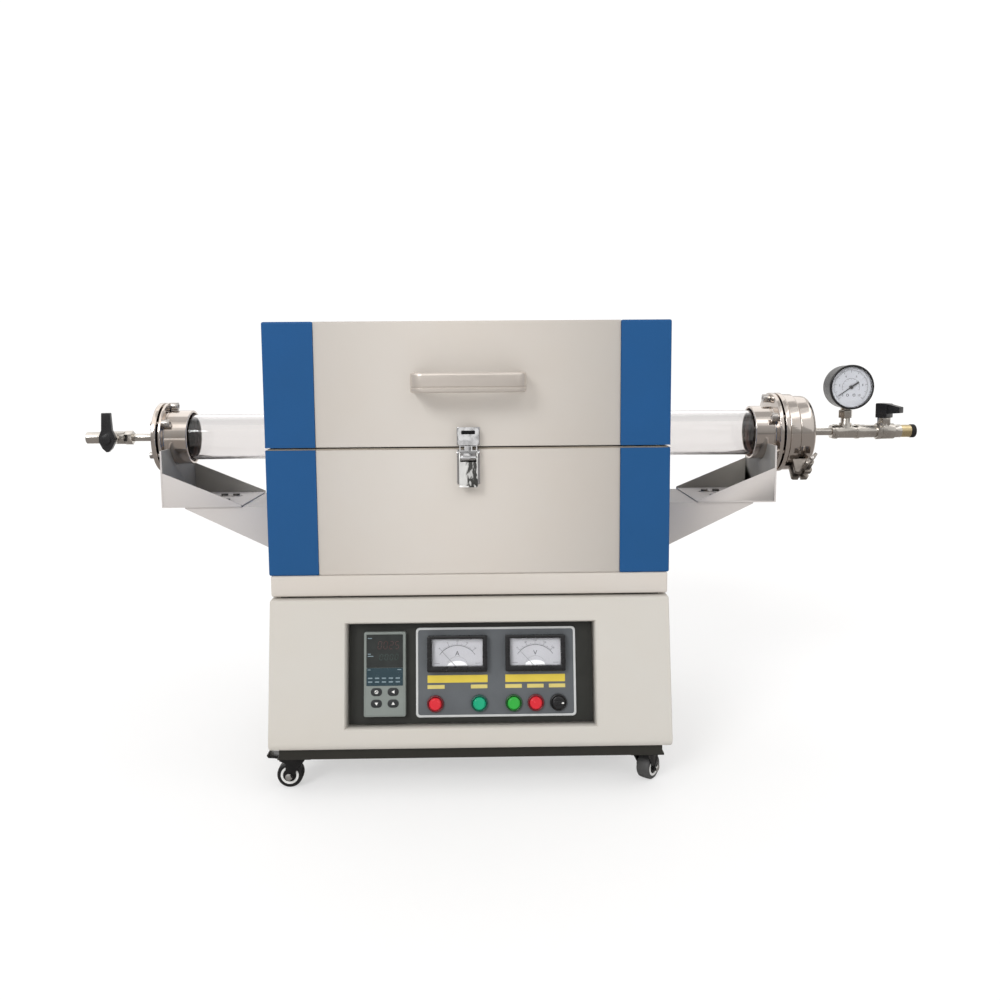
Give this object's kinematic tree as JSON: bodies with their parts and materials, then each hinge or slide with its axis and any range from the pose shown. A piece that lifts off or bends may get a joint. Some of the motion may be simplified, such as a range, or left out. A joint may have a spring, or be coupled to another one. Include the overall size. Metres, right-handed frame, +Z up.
{
  "type": "tube furnace",
  "caption": "Split-lid laboratory tube furnace: horizontal quartz tube with sealed end flanges, gas valves and pressure gauge on a wheeled control cabinet.",
  "frame": {"origin": "middle of the bounding box in plan, on the floor plane under the caster wheels", "axes": "+Z up, +X along the tube towards the pressure gauge, -Y towards the front control panel"},
  "size_m": [1.1108, 0.438, 0.5363],
  "materials": {
    "beige_paint": "satin",
    "blue_paint": "satin",
    "black_frame": "satin",
    "black_plate": "matte",
    "grey_plate": "matte",
    "controller_plastic": "matte",
    "black_plastic": "satin",
    "clear_window": "polished",
    "quartz": "polished",
    "stainless": "satin",
    "pipe_steel": "satin",
    "brass": "satin",
    "rubber": "matte",
    "chrome": "polished",
    "anodised": "satin",
    "fibre": "matte",
    "heater": "matte",
    "thermocouple_steel": "satin",
    "core_steel": "matte",
    "red_button": "gloss",
    "green_button": "gloss",
    "wheel": "matte",
    "needle": "matte",
    "lever_plastic": "satin"
  },
  "bodies": {
    "frame": {"cabinet_front": "beige_paint", "cabinet_panels": "beige_paint", "base_frame": "black_frame", "panel_plate": "black_plate", "meter_panel": "grey_plate", "temperature_controller": "controller_plastic", "meter_cases": "black_plastic", "dial_windows": "clear_window", "button_bezels": "black_plastic", "chassis_slab": "beige_paint", "lower_shell": "beige_paint", "lower_end_covers": "blue_paint", "lower_insulation": "fibre", "lower_heater": "heater", "thermocouple": "thermocouple_steel", "quartz_tube": "quartz", "fibre_plugs": "fibre", "support_brackets": "beige_paint", "tube_flanges": "stainless", "end_caps": "stainless", "seals": "rubber", "clamp_halves": "stainless", "gas_pipework": "pipe_steel", "hose_fittings": "brass", "gauge_case": "black_plastic", "lower_hinges": "chrome", "screws": "pipe_steel", "power_electronics": "core_steel", "cable_gland": "black_plastic", "latch_base": "chrome"},
    "lid": {"lid_shell": "beige_paint", "lid_end_covers": "blue_paint", "lid_insulation": "fibre", "lid_heater": "heater", "lid_handle": "anodised", "lid_hinges": "chrome", "latch_keeper": "chrome"},
    "latch_lever": {"latch_lever": "chrome"},
    "latch_loop": {"latch_loop": "chrome"},
    "left_valve_lever": {"left_valve_lever": "lever_plastic"},
    "right_valve_lever": {"right_valve_lever": "lever_plastic"},
    "ammeter_needle": {"ammeter_needle": "needle"},
    "voltmeter_needle": {"voltmeter_needle": "needle"},
    "gauge_needle": {"gauge_needle": "needle"},
    "stop_button_left": {"stop_button_left": "red_button"},
    "run_button_left": {"run_button_left": "green_button"},
    "run_button_right": {"run_button_right": "green_button"},
    "stop_button_right": {"stop_button_right": "red_button"},
    "key_switch": {"key_switch": "black_plastic"},
    "fork_front_left": {"fork_front_left": "black_frame"},
    "wheel_front_left": {"wheel_front_left": "wheel"},
    "brake_pedal_left": {"brake_pedal_left": "black_frame"},
    "fork_front_right": {"fork_front_right": "black_frame"},
    "wheel_front_right": {"wheel_front_right": "wheel"},
    "brake_pedal_right": {"brake_pedal_right": "black_frame"},
    "fork_rear_left": {"fork_rear_left": "black_frame"},
    "wheel_rear_left": {"wheel_rear_left": "wheel"},
    "fork_rear_right": {"fork_rear_right": "black_frame"},
    "wheel_rear_right": {"wheel_rear_right": "wheel"},
    "wing_nut": {"wing_nut": "pipe_steel"}
  },
  "joints": [
    {"name": "lid_hinge", "type": "hinge", "parent": "frame", "child": "lid", "pos_m": [-0.04485, 0.207, 0.3935], "axis": [-1, 0, 0], "range_deg": [0, 85]},
    {"name": "latch_lever_hinge", "type": "hinge", "parent": "frame", "child": "latch_lever", "pos_m": [-0.04485, -0.186, 0.388], "axis": [-1, 0, 0], "range_deg": [0, 110]},
    {"name": "latch_loop_hinge", "type": "hinge", "parent": "latch_lever", "child": "latch_loop", "pos_m": [-0.04485, -0.1892, 0.3825], "axis": [-1, 0, 0], "range_deg": [-110, 0]},
    {"name": "left_valve_turn", "type": "hinge", "parent": "frame", "child": "left_valve_lever", "pos_m": [-0.51745, -0.0155, 0.3935], "axis": [0, -1, 0], "range_deg": [0, 90]},
    {"name": "right_valve_turn", "type": "hinge", "parent": "frame", "child": "right_valve_lever", "pos_m": [0.51335, 0.009, 0.418], "axis": [0, 0, 1], "range_deg": [-36, 54]},
    {"name": "ammeter_needle_swing", "type": "hinge", "parent": "frame", "child": "ammeter_needle", "pos_m": [-0.06005, -0.19072, 0.13993], "axis": [0, 0.9809, -0.1946], "range_deg": [0, 86], "stiffness_Nm_per_rad": 0.0001},
    {"name": "voltmeter_needle_swing", "type": "hinge", "parent": "frame", "child": "voltmeter_needle", "pos_m": [0.02995, -0.19072, 0.13993], "axis": [0, 0.9809, -0.1946], "range_deg": [0, 86], "stiffness_Nm_per_rad": 0.0001},
    {"name": "gauge_needle_swing", "type": "hinge", "parent": "frame", "child": "gauge_needle", "pos_m": [0.46075, -0.0073, 0.4535], "axis": [0, 1, 0], "range_deg": [0, 270], "stiffness_Nm_per_rad": 0.0001},
    {"name": "stop_button_left_travel", "type": "slide", "parent": "frame", "child": "stop_button_left", "axis": [0, 0.9809, -0.1946], "range_m": [0, 0.003], "stiffness_N_per_m": 300},
    {"name": "run_button_left_travel", "type": "slide", "parent": "frame", "child": "run_button_left", "axis": [0, 0.9809, -0.1946], "range_m": [0, 0.003], "stiffness_N_per_m": 300},
    {"name": "run_button_right_travel", "type": "slide", "parent": "frame", "child": "run_button_right", "axis": [0, 0.9809, -0.1946], "range_m": [0, 0.003], "stiffness_N_per_m": 300},
    {"name": "stop_button_right_travel", "type": "slide", "parent": "frame", "child": "stop_button_right", "axis": [0, 0.9809, -0.1946], "range_m": [0, 0.003], "stiffness_N_per_m": 300},
    {"name": "key_switch_turn", "type": "hinge", "parent": "frame", "child": "key_switch", "pos_m": [0.05605, -0.19847, 0.09987], "axis": [0, 0.9809, -0.1946], "range_deg": [0, 90]},
    {"name": "swivel_front_left", "type": "hinge", "parent": "frame", "child": "fork_front_left", "pos_m": [-0.24785, -0.185, 0.035], "axis": [0, 0, 1], "continuous": true},
    {"name": "spin_front_left", "type": "hinge", "parent": "fork_front_left", "child": "wheel_front_left", "pos_m": [-0.25585, -0.185, 0.015], "axis": [0, -1, 0], "continuous": true},
    {"name": "brake_pedal_left_press", "type": "hinge", "parent": "fork_front_left", "child": "brake_pedal_left", "pos_m": [-0.26365, -0.185, 0.0352], "axis": [0, -1, 0], "range_deg": [0, 10]},
    {"name": "swivel_front_right", "type": "hinge", "parent": "frame", "child": "fork_front_right", "pos_m": [0.15815, -0.185, 0.035], "axis": [0, 0, 1], "continuous": true},
    {"name": "spin_front_right", "type": "hinge", "parent": "fork_front_right", "child": "wheel_front_right", "pos_m": [0.16329, -0.17887, 0.015], "axis": [-0.766, 0.6428, 0], "continuous": true},
    {"name": "brake_pedal_right_press", "type": "hinge", "parent": "fork_front_right", "child": "brake_pedal_right", "pos_m": [0.16831, -0.1729, 0.0352], "axis": [-0.766, 0.6428, 0], "range_deg": [0, 10]},
    {"name": "swivel_rear_left", "type": "hinge", "parent": "frame", "child": "fork_rear_left", "pos_m": [-0.24785, 0.167, 0.035], "axis": [0, 0, 1], "continuous": true},
    {"name": "spin_rear_left", "type": "hinge", "parent": "fork_rear_left", "child": "wheel_rear_left", "pos_m": [-0.25398, 0.17214, 0.015], "axis": [-0.6428, -0.766, 0], "continuous": true},
    {"name": "swivel_rear_right", "type": "hinge", "parent": "frame", "child": "fork_rear_right", "pos_m": [0.15815, 0.167, 0.035], "axis": [0, 0, 1], "continuous": true},
    {"name": "spin_rear_right", "type": "hinge", "parent": "fork_rear_right", "child": "wheel_rear_right", "pos_m": [0.1647, 0.17159, 0.015], "axis": [-0.5736, 0.8192, 0], "continuous": true},
    {"name": "wing_nut_spin", "type": "hinge", "parent": "frame", "child": "wing_nut", "pos_m": [0.39515, -0.04182, 0.35769], "axis": [0, -0.788, 0.6157], "continuous": true}
  ],
  "couplings": [
    {"joint": "latch_loop_hinge", "follows": "latch_lever_hinge", "ratio": -1}
  ]
}
